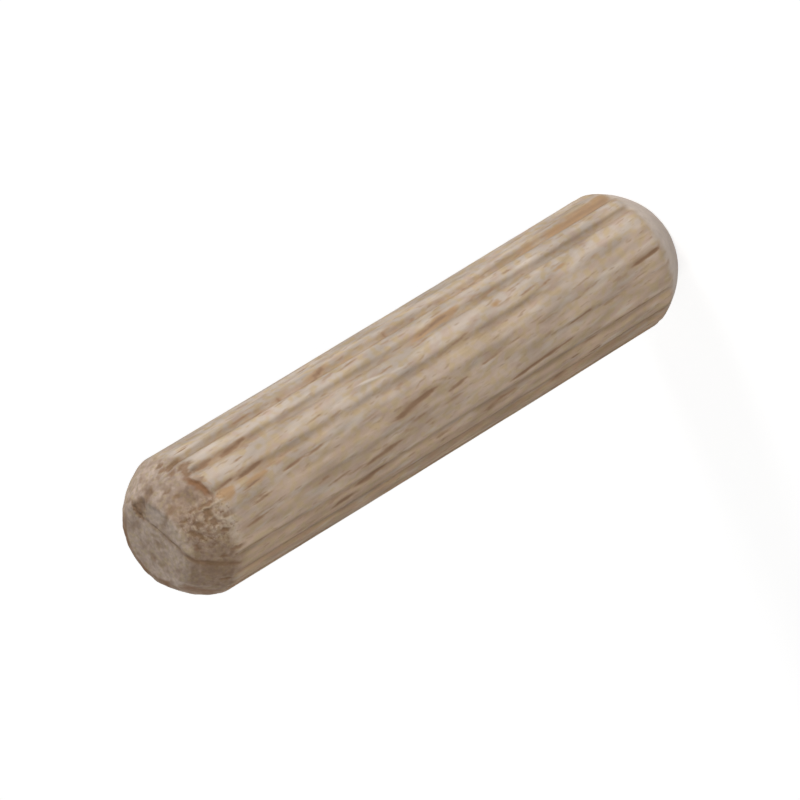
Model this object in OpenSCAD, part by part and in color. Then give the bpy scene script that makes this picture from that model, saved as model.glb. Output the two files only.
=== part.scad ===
// Fluted wooden dowel pin: one turned piece, pressed with straight flutes and rounded off at both ends.
// It stands on its clean tip on z = 0, along +Z, with its rough, split tip up.
// Angles around the pin are counted from the front, -Y, anticlockwise as seen from above.

/* [Pin] */
// Overall length
pin_len = 35.5; // [25:0.5:60]
// Diameter over the crests
pin_d = 7.8; // [7:0.1:12]

/* [Flutes] */
// Number of flutes around the pin
flute_count = 19; // [12:1:22]
// Where one of the flutes is, around the pin
flute_start = 6.5; // [-10:0.5:10]
// Mean depth of the flutes below the crests
flute_depth = 0.16; // [0.12:0.01:0.25]
// How much deeper than the mean the flutes are on their deep side
flute_bias = 0.05; // [0:0.01:0.06]
// Where around the pin the flutes are deepest
flute_deep_side = 50; // [-180:5:180]
// Radius of a flute's round bottom
flute_r = 0.24; // [0.2:0.01:0.4]
// Radius that rounds the edge between a flute and a crest
crest_edge_r = 0.1; // [0.05:0.01:0.2]

/* [Ends] */
// Length of the rounded chamfer at each end
chamfer_len = 2.2; // [1.5:0.1:3.5]
// Diameter of the flat tip face
tip_d = 4.7; // [4:0.1:5.5]
// Radius of the chamfer's bulging profile
chamfer_r = 5.3; // [4:0.1:12]

/* [Split across the upper end] */
// Width of the split
split_w = 0.1; // [0.06:0.01:0.3]
// Depth of the split, along the pin
split_depth = 0.3; // [0.1:0.05:1]
// Where the split starts on the tip face, out from the pin's axis
split_start_r = 1.6; // [1:0.1:1.9]
// Where the split starts, around the pin
split_start_angle = 82; // [60:1:100]
// Where the split leaves the tip face, around the pin
split_rim_angle = -42; // [-55:1:-30]
// Where the split reaches the crests, around the pin
split_crest_angle = -59; // [-70:1:-45]

/* [Chip out of the upper tip's rim] */
// Radius of the chip's hollow
chip_r = 0.6; // [0.45:0.05:0.9]
// Depth of the hollow below the tip face
chip_depth = 0.25; // [0.1:0.05:0.4]
// Where the chip is, around the pin
chip_angle = 64; // [50:1:80]

/* [Hidden] */
$fn = 96;
pin_r = pin_d / 2;
tip_r = tip_d / 2;
past = 1;         // how far a cutter runs on outside the wood
overshoot = 0.1;  // how far the chamfer's arc runs on past the crests and past the tip face

function at(r, angle) = [r * cos(angle), r * sin(angle)];

// A flute has a round bottom, and a rounding on each side that meets it and the crest without a corner.
edge_axis = pin_r - crest_edge_r;
function flute_place(i) = flute_start + i * 360 / flute_count;
function flute_floor(angle) = pin_r - flute_depth - flute_bias * cos(angle - flute_deep_side);
function flute_axis(angle) = flute_floor(angle) + flute_r;
function edge_angle(angle) = acos(
    (edge_axis ^ 2 + flute_axis(angle) ^ 2 - (flute_r + crest_edge_r) ^ 2)
    / (2 * edge_axis * flute_axis(angle)));

// The upper chamfer's arc, in half section: it runs from the end of the crests to the tip face's rim.
arc_chord = [tip_r - pin_r, chamfer_len];
arc_rise = sqrt(chamfer_r ^ 2 - (norm(arc_chord) / 2) ^ 2);
arc_mid = [(pin_r + tip_r) / 2, pin_len - chamfer_len / 2];
arc_axis = arc_mid - arc_rise * [arc_chord[1], -arc_chord[0]] / norm(arc_chord);
arc_low_r = pin_r + overshoot;
arc_low = [arc_low_r, arc_axis[1] + sqrt(chamfer_r ^ 2 - (arc_low_r - arc_axis[0]) ^ 2)];
arc_high_z = pin_len + overshoot;
arc_high = [arc_axis[0] + sqrt(chamfer_r ^ 2 - (arc_high_z - arc_axis[1]) ^ 2), arc_high_z];

// What one flute takes out of the pin's section, with the flute along +X.
module flute_section(angle) {
    groove = [flute_axis(angle), 0];
    edge = at(edge_axis, edge_angle(angle));
    meet = groove + flute_r * (edge - groove) / norm(edge - groove);
    crest = at(pin_r, edge_angle(angle));
    outer = at(pin_r + past, edge_angle(angle));
    translate(groove) circle(flute_r);
    difference() {
        polygon([meet, crest, outer, [outer[0], -outer[1]], [crest[0], -crest[1]], [meet[0], -meet[1]]]);
        for (side = [-1, 1])
            translate([edge[0], side * edge[1]]) circle(crest_edge_r);
    }
}

// The pin's section across the grain.
module pin_section() {
    difference() {
        circle(pin_r);
        for (i = [0 : flute_count - 1])
            rotate(flute_place(i)) flute_section(flute_place(i));
    }
}

// Half section of what the chamfer takes off the upper end.
module chamfer_section() {
    difference() {
        polygon([
            arc_low,
            [pin_r + past, arc_low[1]],
            [pin_r + past, pin_len + past],
            [arc_high[0], pin_len + past],
            arc_high
        ]);
        translate(arc_axis) circle(chamfer_r);
    }
}

// The pin's envelope: its two chamfered ends, and a little more than its width between them.
module envelope() {
    rotate_extrude()
        difference() {
            square([arc_low_r, pin_len]);
            chamfer_section();
            translate([0, pin_len]) mirror([0, 1]) chamfer_section();
        }
}

// One straight leg of the split, seen from above.
module split_leg(from, to) {
    run = to - from;
    translate(from)
        rotate(atan2(run[1], run[0]))
            translate([0, -split_w / 2]) square([norm(run), split_w]);
}

// The split follows the grain straight down. It bends once, at the tip face's rim.
module split() {
    start = at(split_start_r, split_start_angle);
    rim = at(tip_r, split_rim_angle);
    crest = at(arc_low_r, split_crest_angle);
    difference() {
        translate([0, 0, pin_len - chamfer_len - split_depth])
            linear_extrude(chamfer_len + split_depth + past) {
                split_leg(start, rim);
                split_leg(rim, crest);
                translate(rim) circle(split_w / 2);
            }
        translate([0, 0, -split_depth]) envelope();
    }
}

module chip() {
    place = at(tip_r, chip_angle);
    translate([place[0], place[1], pin_len + chip_r - chip_depth]) sphere(chip_r);
}

module dowel_pin() {
    color("burlywood")
        rotate([0, 0, -90])
            difference() {
                intersection() {
                    linear_extrude(pin_len) pin_section();
                    envelope();
                }
                split();
                chip();
            }
}

dowel_pin();
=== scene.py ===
"""Fluted beech dowel pin, standing on its clean tip, on a white studio floor.

The pin is one mesh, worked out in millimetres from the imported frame: the CAD form with worn flutes, torn
fibres, a split and a chip at its upper end. Angles around the pin are in degrees, counted from the front,
-Y, anticlockwise as seen from above.
"""
import itertools
import math

import bpy
import numpy as np
from mathutils import Matrix, Vector
from mathutils.geometry import delaunay_2d_cdt


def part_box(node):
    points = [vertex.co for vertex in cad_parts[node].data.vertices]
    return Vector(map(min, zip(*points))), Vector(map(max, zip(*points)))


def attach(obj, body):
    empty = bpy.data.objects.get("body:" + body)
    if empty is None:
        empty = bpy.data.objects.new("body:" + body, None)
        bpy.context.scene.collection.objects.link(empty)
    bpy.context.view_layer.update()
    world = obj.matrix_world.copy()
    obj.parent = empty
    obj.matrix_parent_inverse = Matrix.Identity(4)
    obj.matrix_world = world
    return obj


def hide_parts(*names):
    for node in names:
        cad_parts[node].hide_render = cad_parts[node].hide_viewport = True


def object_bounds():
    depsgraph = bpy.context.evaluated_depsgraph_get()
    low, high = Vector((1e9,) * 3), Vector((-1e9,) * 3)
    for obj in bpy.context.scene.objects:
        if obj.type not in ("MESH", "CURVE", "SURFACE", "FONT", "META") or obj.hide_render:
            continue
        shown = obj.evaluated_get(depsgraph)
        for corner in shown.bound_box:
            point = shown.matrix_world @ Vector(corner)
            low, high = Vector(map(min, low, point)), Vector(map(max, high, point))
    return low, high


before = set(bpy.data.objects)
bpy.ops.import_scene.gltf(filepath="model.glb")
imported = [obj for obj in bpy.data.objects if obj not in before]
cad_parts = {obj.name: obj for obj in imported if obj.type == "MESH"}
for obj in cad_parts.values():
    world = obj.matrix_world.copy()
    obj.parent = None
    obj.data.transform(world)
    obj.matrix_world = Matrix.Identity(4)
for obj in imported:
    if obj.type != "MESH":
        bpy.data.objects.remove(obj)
cad_low, cad_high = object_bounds()
pin_low, pin_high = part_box("dowel_pin")

MM = 0.001

# The pin's driving sizes in millimetres, and its angles, as in the CAD form
PIN_LEN = pin_high.z / MM
PIN_R = max(pin_high.x, pin_high.y, -pin_low.x, -pin_low.y) / MM
FLUTE_COUNT = 19
FLUTE_START = 6.5
FLUTE_DEPTH = 0.16
FLUTE_BIAS = 0.05
FLUTE_DEEP_SIDE = 50
FLUTE_R = 0.24
CREST_EDGE_R = 0.1
CHAMFER_LEN = 2.2
CHAMFER_R = 5.3
TIP_R = 2.35
SPLIT_DEPTH = 0.3
CHIP_R = 0.6
CHIP_DEPTH = 0.25
CHIP_ANGLE = 64
# The height at which the crests end and the upper chamfer begins
CRESTS_TOP = PIN_LEN - CHAMFER_LEN

# Flutes as wear and pressing left them: angle, how far off its place, share of the depth left, brownness
# The brownness darkens a flute: partly the pressed wood's own brown, partly painted shade in its recess
FLUTE_WEAR = [
    (82, 0.0, 0.6, 0.3),
    (63, 0.0, 0.3, 0.2),
    (44, 1.4, 1.0, 1.3),
    (25, 0.8, 0.9, 1.4),
    (6, -3.8, 0.5, 1.1),
    (-12, -3.0, 0.15, 0.45),
    (-31, 0.8, 0.5, 0.25),
    (-50, -0.8, 0.75, 0.9),
    (-69, 0.0, 1.0, 1.4),
    (-88, 0.0, 1.0, 1.4),
]
# The ranges from which the hidden flutes' same three values are drawn
HIDDEN_RANGES = [(-0.8, 0.8), (0.5, 1), (0.2, 0.9)]
FLUTE_SEED = 5
# How far the flutes' edges are rounded over, and how much wider that makes a flute and its brown band
ROUNDED = 0.7
ROUNDED_REACH = 1.4
BROWN_REACH = 1.6
# How their depth varies: the mean, the swing, the noise's lump, its seed. And how far apart they lie in it.
FLUTE_UNEVEN = (1, 0.3, (1, 1, 9), 17)
FLUTE_APART = 7.7
# How much further the flutes in a band of angles are worn, and the heights where that begins and is whole
WORN_BAND = (-30, -24, 10, 16)
WORN_HEIGHTS = (12, 8)
WORN_SHARE = 0.7
# The pin is bowed by this much, its middle towards this angle
BOW = 0.05
BOW_ANGLE = -96

# How finely the mesh follows the wood
COLUMNS = 576
BODY_ROWS = 92
UPPER_ROWS = 38
LOWER_ROWS = 18

# The grain leans this far sideways, along X, for each millimetre up the pin
GRAIN_LEAN = -0.09
# The rays run along this angle around the pin
RAY_ANGLE = 113

# Flecks where rays reach the surface: from z, to z, from angle, to angle, width, darkness
FLECKS = [
    (33.2, 31.7, 4, 6, 0.20, 0.8),
    (31.8, 29.5, 3, 6, 0.26, 1.0),
    (31.9, 30.3, -7, -5, 0.14, 0.8),
    (29.4, 27.1, -10, -7, 0.18, 0.8),
    (29.1, 27.3, 1, 2, 0.14, 0.5),
    (33.3, 31.8, 27, 29, 0.34, 0.8),
    (31.7, 29.4, 26, 30, 0.36, 0.9),
    (32.7, 30.5, -33, -30, 0.20, 0.8),
    (27.6, 26.4, -33, -31, 0.18, 0.7),
    (24.6, 21.4, -40, -37, 0.26, 0.9),
    (27.1, 25.0, -59, -57, 0.34, 0.9),
    (25.5, 22.5, -53, -50, 0.30, 0.9),
    (22.0, 18.2, -21, -15, 0.34, 1.0),
    (18.3, 16.4, -24, -21, 0.22, 0.8),
    (15.6, 13.4, -20, -17, 0.14, 0.7),
    (13.5, 12.2, -17, -16, 0.12, 0.6),
    (14.3, 8.7, -44, -39, 0.18, 0.9),
    (16.2, 14.3, -56, -53, 0.36, 0.8),
    (17.7, 14.9, 27, 31, 0.26, 0.7),
    (17.9, 16.4, 3, 5, 0.12, 0.5),
    (16.7, 14.9, 5, 8, 0.22, 0.8),
    (9.8, 8.7, 8, 10, 0.14, 0.7),
    (9.5, 7.6, -29, -27, 0.14, 0.8),
    (4.3, 1.9, -16, -14, 0.26, 1.0),
    (7.2, 2.1, -49, -48, 0.12, 0.8),
    (33.5, 29.8, -48, -48, 0.10, 0.7),
    (20.4, 17.4, -69, -66, 0.34, 0.7),
    (11.1, 9.2, -72, -68, 0.45, 0.8),
    (23.2, 21.8, -83, -82, 0.40, 0.7),
    (19.3, 18.5, -60, -58, 0.22, 0.6),
    (24.1, 22.6, 43, 52, 0.36, 0.8),
    (18.8, 18.2, 43, 55, 0.34, 0.7),
    (28.4, 26.9, 43, 47, 0.30, 0.7),
    (26.4, 25.9, 44, 50, 0.30, 0.7),
    (30.9, 30.1, 44, 46, 0.28, 0.6),
    (6.0, 1.9, 44, 45, 0.30, 0.6),
    (6.8, 1.0, 46, 51, 1.10, 0.36),
]
# Amber patches, of the same form
AMBERS = [
    (33.7, 32.0, -2, -2, 0.70, 1.3),
    (31.9, 29.6, -4, -3, 0.55, 1.3),
    (33.5, 33.1, 26, 8, 0.30, 0.8),
    (33.4, 29.2, 28, 29, 0.60, 0.5),
    (33.9, 27.5, 6, 4, 1.10, 0.35),
    (7.4, 1.0, 46, 53, 0.90, 0.8),
    (5.2, 1.6, 46, 53, 0.80, 1.0),
    (10.6, 4.0, 46, 50, 0.60, 0.5),
    (18.4, 14.0, 26, 31, 0.55, 1.0),
    (24.6, 22.2, 43, 52, 0.60, 0.7),
    (34.0, 17.0, 44, 45, 0.50, 0.35),
    (20.0, 8.0, 44, 45, 0.50, 0.30),
    (18.4, 17.4, 46, 56, 0.70, 0.4),
    (8.8, 7.4, 12, 15, 0.22, 0.7),
    (13.0, 12.1, 14, 16, 0.36, 0.9),
    (25.9, 25.3, 15, 16, 0.28, 0.7),
    (23.4, 22.6, 12, 13, 0.26, 0.6),
]
# Pale, raised slivers, of the same form
SLIVERS = [
    (22.7, 20.7, 17, 13, 0.16, 1.0),
    (20.6, 19.3, 12, 10, 0.14, 0.6),
    (33.4, 31.2, 16, 17, 0.60, 0.4),
]

# What makes a random value out of a cell's number, and how far apart two seeds lie
NOISE_PRIMES = (73856093, 19349663, 83492791)
SEED_PRIME = 15485863
SCRAMBLE_PRIME = 1274126177
NOISE_APART = 7.31


def noise(points, lump, seed):
    """Smooth random values from -1 to 1 at 3-D points. lump is the lumps' size, or a size for each axis."""
    place = points / np.array(lump, float) + seed * NOISE_APART
    cell = np.floor(place).astype(np.int64)
    part = place - cell
    part = part * part * (3 - 2 * part)
    total = np.zeros(len(points))
    for corner in itertools.product((0, 1), repeat=3):
        key = ((cell + corner) * NOISE_PRIMES).sum(axis=1) + seed * SEED_PRIME
        key = (key ^ (key >> 13)) * SCRAMBLE_PRIME
        value = ((key ^ (key >> 16)) & 0xFFFF) / (0xFFFF / 2) - 1
        total += value * np.where(corner, part, 1 - part).prod(axis=1)
    return total


def varied(points, mean, swing, lump, seed):
    """Values that swing up and down about a mean."""
    return mean + swing * noise(points, lump, seed)


def layers(points, rows):
    """The sum of several layers of noise: height, lump, seed."""
    return sum(height * noise(points, lump, seed) for height, lump, seed in rows)


def smooth_step(low, high, value):
    """0 at low and 1 at high, with a smooth way between. low may be the larger one."""
    part = np.clip((value - low) / (high - low), 0, 1)
    return part * part * (3 - 2 * part)


def band(limits, value):
    """1 inside a band and 0 outside it. At its limits it begins, is whole, fades and has ended."""
    begins, whole, fades, ends = limits
    return smooth_step(begins, whole, value) * smooth_step(ends, fades, value)


def plateau(value, middle, reach, power):
    """1 near the middle, falling to 0 past reach from it, the more steeply the higher the power."""
    return np.exp(-((value - middle) / reach) ** power)


def hump(share):
    """1 where share is 0, falling in a soft curve to 0 where it is -1 or 1."""
    return np.cos(np.pi / 2 * np.clip(share, -1, 1)) ** 2


def smooth_min(first, second, reach):
    """The smaller of two heights, with the corner between them rounded over reach."""
    near = np.clip(1 - np.abs(first - second) / reach, 0, 1)
    return np.minimum(first, second) - near * near * reach / 4


def turn(angle):
    """An angle in degrees, brought between -180 and 180."""
    return (np.asarray(angle) + 180) % 360 - 180


def around(radius, angle):
    """X and Y of a point at that radius and angle around the pin."""
    return radius * np.sin(np.radians(angle)), -radius * np.cos(np.radians(angle))


def angle_of(x, y):
    """The angle around the pin of a point at that X and Y."""
    return np.degrees(np.arctan2(x, -y))


# ---- The CAD form ----

# The upper chamfer's arc in half section, from the end of the crests to the tip face's rim
arc_chord = np.array([TIP_R - PIN_R, CHAMFER_LEN])
arc_mid = np.array([(PIN_R + TIP_R) / 2, PIN_LEN - CHAMFER_LEN / 2])
arc_rise = math.sqrt(CHAMFER_R ** 2 - (arc_chord @ arc_chord) / 4)
arc_axis = arc_mid - arc_rise * np.array([arc_chord[1], -arc_chord[0]]) / np.hypot(*arc_chord)
ARC_OVERSHOOT = 0.1
arc_start = math.acos((PIN_R + ARC_OVERSHOOT - arc_axis[0]) / CHAMFER_R)
arc_end = math.acos((TIP_R - arc_axis[0]) / CHAMFER_R)


def flute_wear():
    """For each flute from the one at FLUTE_START on: how far off it is, its depth left, how brown it is."""
    draw = np.random.default_rng(FLUTE_SEED)
    shift, depth, brown = [draw.uniform(least, most, FLUTE_COUNT) for least, most in HIDDEN_RANGES]
    for angle, *values in FLUTE_WEAR:
        index = round((angle - FLUTE_START) * FLUTE_COUNT / 360) % FLUTE_COUNT
        shift[index], depth[index], brown[index] = values
    return shift, depth, brown


flute_shift, flute_left, flute_brown = flute_wear()


def flute_form(angle, z):
    """At each angle and height: the worn section's radius, and how brown the flute is, 0 on a crest."""
    pitch = 360 / FLUTE_COUNT
    index = np.round((angle - FLUTE_START) / pitch)
    number = index.astype(int) % FLUTE_COUNT
    place = FLUTE_START + pitch * index
    off = np.radians(angle - place - flute_shift[number])

    # The CAD form's section: a round bottom, and a rounding that meets it and the crest
    floor = PIN_R - FLUTE_DEPTH - FLUTE_BIAS * np.cos(np.radians(place - FLUTE_DEEP_SIDE))
    axis = floor + FLUTE_R
    edge_axis = PIN_R - CREST_EDGE_R
    reach = FLUTE_R + CREST_EDGE_R
    edge = np.arccos((edge_axis ** 2 + axis ** 2 - reach ** 2) / (2 * edge_axis * axis))
    meet_x = axis + (edge_axis * np.cos(edge) - axis) * FLUTE_R / reach
    meet_y = edge_axis * np.sin(edge) * FLUTE_R / reach
    meet = np.arctan2(meet_y, meet_x)
    bottom = axis * np.cos(off) - np.sqrt(np.maximum(FLUTE_R ** 2 - (axis * np.sin(off)) ** 2, 0))
    gap = np.abs(off) - edge
    edge_rise = np.sqrt(np.maximum(CREST_EDGE_R ** 2 - (edge_axis * np.sin(gap)) ** 2, 0))
    shoulder = edge_axis * np.cos(gap) + edge_rise
    radius = np.where(np.abs(off) < meet, bottom, np.where(gap < 0, shoulder, PIN_R))

    # What wear left of it
    sharp = np.clip((PIN_R - radius) / (PIN_R - floor), 0, 1)
    groove = (1 - ROUNDED) * sharp + ROUNDED * hump(off / edge / ROUNDED_REACH)
    along = np.stack([number * FLUTE_APART, number * 0, z], axis=1)
    worn = WORN_SHARE * band(WORN_BAND, angle) * smooth_step(*WORN_HEIGHTS, z)
    kept = varied(along, *FLUTE_UNEVEN) * (1 - worn)
    left = np.clip(flute_left[number] * kept, 0, 1)
    brown = hump(off / edge / BROWN_REACH) * flute_brown[number] * kept
    return PIN_R - (PIN_R - floor) * groove * left, brown


def arc_height(radius):
    """How high the upper chamfer's arc is at that distance from the pin's axis."""
    return arc_axis[1] + np.sqrt(np.maximum(CHAMFER_R ** 2 - (radius - arc_axis[0]) ** 2, 0))


# ---- What wear and cutting did to the wood ----

# The split's path on the rough end, seen from above
SPLIT_PATH = [
    (1.61, -0.38),
    (0.77, -0.84),
    (0.11, -1.17),
    (-0.55, -1.43),
    (-1.24, -1.70),
    (-2.00, -1.74),
    (-2.40, -1.90),
    (-2.80, -2.03),
    (-3.20, -2.06),
    (-3.42, -2.10),
]
# Strokes on the rough end, seen from above: from x, y, to x, y, width, depth, darkness
# The darkness is partly the torn wood's brown and partly painted shade in the pits
TORN_STROKES = [
    (0.00, -3.45, -0.05, -3.70, 0.24, 0.12, 1.2),
    (-0.35, -3.50, -0.60, -3.50, 0.26, 0.12, 1.4),
    (-0.60, -3.40, -0.80, -3.30, 0.20, 0.10, 0.8),
    (-0.85, -3.45, -1.10, -3.40, 0.20, 0.11, 0.9),
    (-0.60, -3.05, -0.80, -3.15, 0.25, 0.08, 0.7),
    (-0.75, -2.70, -1.00, -2.75, 0.22, 0.11, 1.1),
    (-1.15, -2.80, -1.35, -2.80, 0.20, 0.08, 1.0),
    (-1.45, -2.40, -1.65, -2.35, 0.25, 0.08, 0.8),
    (-1.55, -3.35, -1.65, -3.40, 0.20, 0.12, 1.1),
    (-0.95, -3.80, -1.10, -3.75, 0.18, 0.10, 1.0),
    (-1.10, -3.15, -1.25, -3.10, 0.18, 0.08, 0.7),
    (-0.05, -2.75, -0.10, -2.80, 0.20, 0.08, 0.9),
    (0.15, -3.15, 0.10, -3.25, 0.20, 0.07, 0.7),
    (2.70, -2.45, 2.60, -2.60, 0.24, 0.10, 1.2),
    (3.05, -1.90, 3.00, -2.05, 0.22, 0.08, 0.9),
    (2.80, -2.15, 2.75, -2.30, 0.20, 0.06, 0.8),
    (2.35, -2.70, 2.20, -2.75, 0.20, 0.08, 0.9),
    (2.60, -2.10, 2.50, -2.20, 0.20, 0.05, 0.5),
    (2.30, -3.05, 2.20, -3.20, 0.24, 0.12, 1.3),
    (2.05, -3.15, 1.80, -3.30, 0.20, 0.10, 1.1),
    (-2.60, -2.80, -2.65, -2.85, 0.22, 0.09, 1.0),
    (-3.45, -1.00, -3.50, -1.05, 0.24, 0.08, 1.1),
    (-1.75, -1.75, -2.30, -1.85, 0.35, 0.02, 0.4),
    (-2.45, -1.90, -3.05, -2.10, 0.45, 0.03, 0.5),
    (-2.55, -2.40, -2.65, -2.45, 0.22, 0.04, 0.7),
    (-3.35, -0.60, -3.45, -0.50, 0.35, 0.01, 0.4),
    (1.20, -2.90, 1.15, -3.00, 0.20, 0.05, 0.7),
    (1.70, -2.50, 1.60, -2.65, 0.20, 0.04, 0.7),
    (2.20, -1.80, 2.10, -1.90, 0.25, 0.05, 0.7),
    (0.75, -2.65, 0.40, -1.70, 0.45, 0.03, 0.5),
    (0.50, -2.00, 0.20, -1.85, 0.25, 0.03, 0.4),
    (2.15, -0.40, 1.60, -0.40, 0.45, 0.20, 1.5),
    (2.10, -1.60, 1.65, -0.50, 0.70, 0.14, 0.4),
    (2.20, -1.00, 1.95, -0.60, 0.75, 0.14, 0.5),
    (-2.85, -1.60, -3.40, -1.00, 0.80, 0.01, 0.3),
    (-0.20, 0.85, -0.45, 0.75, 0.40, 0.02, 0.4),
    (0.10, -0.25, -0.25, -0.40, 0.40, 0.02, 0.4),
    (-0.90, 0.70, -1.20, 0.30, 0.40, 0.02, 0.4),
]
# Broad grey shades, of the same form, all level with the wood
SHADE_STROKES = [
    (2.70, -2.70, 1.90, -1.90, 1.80, 0.0, 0.35),
    (1.95, -2.95, 1.30, -2.30, 1.40, 0.0, 0.25),
    (0.60, -3.45, 1.20, -3.20, 0.90, 0.0, 0.35),
    (2.10, -1.60, 1.80, -0.60, 0.80, 0.0, 0.60),
]
# Raised fibres, of the same form, with paleness in darkness' place
FIBRE_STROKES = [
    (-0.15, -3.50, -0.25, -3.85, 0.16, 0.06, 0.8),
    (-0.45, -3.60, -1.30, -3.65, 0.15, 0.07, 0.9),
    (-0.70, -3.45, -0.85, -3.45, 0.16, 0.06, 0.9),
    (-1.05, -3.65, -1.45, -3.60, 0.13, 0.05, 0.7),
    (-1.70, -3.45, -2.40, -3.05, 0.14, 0.05, 0.8),
    (-1.35, -3.50, -1.60, -3.50, 0.14, 0.05, 0.7),
    (-0.95, -2.95, -1.30, -3.10, 0.14, 0.04, 0.6),
    (-0.30, -3.25, -0.60, -3.30, 0.15, 0.04, 0.6),
    (-1.10, -3.20, -1.40, -3.15, 0.15, 0.04, 0.6),
]

# Values that vary as noise does: the mean, the swing up and down, the noise's lump, its seed
CUT_BORDER = (0, 0.2, (0.2, 0.2, 5), 3)
SPINDLE_WANDER = (0, 0.22, (0.2, 0.2, 0.7), 5)
PUSH_X = (0, 0.05, 0.2, 41)
PUSH_Y = (0, 0.05, 0.2, 42)
STEP_EDGE = (CRESTS_TOP + 0.26, 0.09, (0.22, 0.22, 5), 61)
LEDGE_STRENGTH = (0.75, 0.6, (0.35, 0.35, 0.3), 62)
SPLIT_HALF_W = (0.08, 0.048, (0.4, 0.4, 5), 71)
SPLIT_STRENGTH = (0.75, 0.6, (0.5, 0.5, 5), 72)
DIM_EDGE_R = (TIP_R + 0.1, 0.07, (0.3, 0.3, 5), 81)
LINE_STRENGTH = (0.8, 0.5, 0.3, 82)
# Relief of the sides and cut ends, in layers of noise: height, lump, seed. And how far they lie in.
SIDE_LAYERS = [
    (0.005, (0.32, 0.32, 1.2), 21),
    (0.002, (0.16, 0.16, 0.6), 22),
    (0.014, (1.0, 1.0, 5), 23),
]
SIDE_SINK = 0.009
CUT_LAYERS = [
    (0.024, 0.40, 31),
    (0.008, (0.18, 0.18, 0.2), 32),
]
CUT_SINK = 0.016
# Plateaus of angle or of distance from the axis: the middle, the reach, the power
TORN_ANGLES = (-16, 22, 4)
TORN_RADII = (3.35, 0.75, 4)
STEP_ANGLES = (15, 14, 6)
DIM_BULGE_ANGLES = (-25, 20, 2)

# Here and below, a pair of numbers is where a thing begins and where it is whole.
# The cut wood's border, past the crests, and how much nearer to the tip it is at the lower end
CUT_EDGE = (-0.2, 0.4)
LOWER_CUT_SHIFT = 0.3
# The lower end's relief is this share of the upper one's
LOWER_ROUGHNESS = 0.45
# The marks of the rough end begin this far below the end of the crests
TOP_REACH = 0.6

SLIVER_RISE = 0.045
FLECK_DEPTH = 0.024
SMALL_FLECK_DEPTH = 0.010
# A spindle's half width goes by its roundness to this power. Its edge is in parts of the half width.
SPINDLE_TAPER = 0.8
SPINDLE_EDGE = (1.7, 0.1)
# A fleck's halo: how much longer at each end, how much wider than double, and its share of strength
HALO_LONGER = 0.5
HALO_WIDER = 0.12
HALO_STRENGTH = 0.5
# Small flecks: least, most, and how much more on the hidden side
SMALL_FLECKS = 260
SMALL_FLECK_SEED = 11
SMALL_LEN = (0.6, 1.9, 1.6)
SMALL_WIDTH = (0.10, 0.20, 0.1)
SMALL_STRENGTH = (0.30, 0.85, 0.15)
SMALL_DARKNESS = 0.9
SMALL_HALO = 0.6
SMALL_END_GAP = 2
# The hidden side is farther round than this from the middle of what the photograph shows
SEEN_ANGLE = -10
SEEN_REACH = 85

# What a 1 in the strokes' rows stands for
PIT_DEPTH = 0.42
FIBRE_RISE = 0.35
PIT_DARKNESS = 1.4
FIBRE_PALENESS = 0.6
# A stroke ends at this share of its width, give or take what its edge wanders
STROKE_REACH = 0.70
STROKE_WANDER = 0.18
FIBRE_WANDER = 0.09
# The torn wood: how deep it lies, its pits' depth, its fibres' height, and the noise that makes them
TORN_SINK = 0.02
TORN_PIT = 0.02
TORN_FIBRE = 0.008
TORN_PIT_NOISE = (0.2, 0.7)
TORN_FIBRE_NOISE = (-0.35, -0.8)

# The recess below the broken crest: its depth, its edge's rise for each degree, its wall above that, the
# radii where it runs out, and the band of heights along its edge painted dark: shadow and brown torn wood
STEP_DEPTH = 0.11
STEP_RISE = 0.012
STEP_WALL = (0, 0.05)
STEP_RADII = (2.9, 3.5)
LEDGE_BAND = (-0.08, 0.04, 0.14, 0.38)
# Ends of the crests painted brown, partly their own brown and partly the shadow line of their overhang:
# a band of angles, a height above the crests, and how near to it they are
END_BAND = (-84, -60, 18, 34)
END_HEIGHT = 0.15
END_NEAR = (0.5, 0.1)
END_NOISE = (0.1, 0.7)
END_DARKNESS = 0.9
# Where the wood is torn, this share of them is gone
END_TORN_LOSS = 0.7

# The split: its share of the strokes' push, the share of its depth that torn fibres leave open, its walls
# in parts of its half width, how far the wood beside it is dark, and how dark both are, in painted shade
SPLIT_PUSH = 0.4
SPLIT_OPEN = 0.12
SPLIT_WALL = (1.5, 0.4)
BESIDE_SPLIT = (0.26, 0.02)
SPLIT_DARKNESS = 0.25
BESIDE_DARKNESS = 0.4
# The wood in front of it: how far it has sunk, where that is, at which radii, and how much light is painted
# on it
LIP_SAG = 0.07
LIP_WAY = (0, 1.5)
LIP_RADII = (TIP_R + 0.1, TIP_R - 0.3)
LIP_PAINTED_LIGHT = 0.5
# Torn fibres leave this share of the chip open. Its marks, painted shade in the hollow, are for each
# millimetre of depth.
CHIP_OPEN = 0.4
CHIP_DARKNESS = 0.7
CHIP_SHADE = 0.5

# The rough end's chamfer is painted darker this far round from where it is lightest, outside its noisy edge
# radius: partly painted shade among torn fibres, partly dirt
LIGHTEST_ANGLE = 75
DIM_ANGLES = (34, 62)
DIM_EDGE = (-0.08, 0.12)
DIM_BULGE = 0.2
# Dark lines on the upper chamfer: along the tip's rim at the back, and farther out on the left
RIM_LINE_R = TIP_R - 0.06
RIM_LINE_ANGLES = (100, 125)
RIM_LINE_NEAR = (0.30, 0.16)
LEFT_LINE_BAND = (-120, -102, -96, -89)
LEFT_LINE_RADII = (TIP_R, TIP_R + 0.2, PIN_R - 0.3, PIN_R)
LINE_DARKNESS = 0.35
LINE_LEDGE = 0.8


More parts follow.
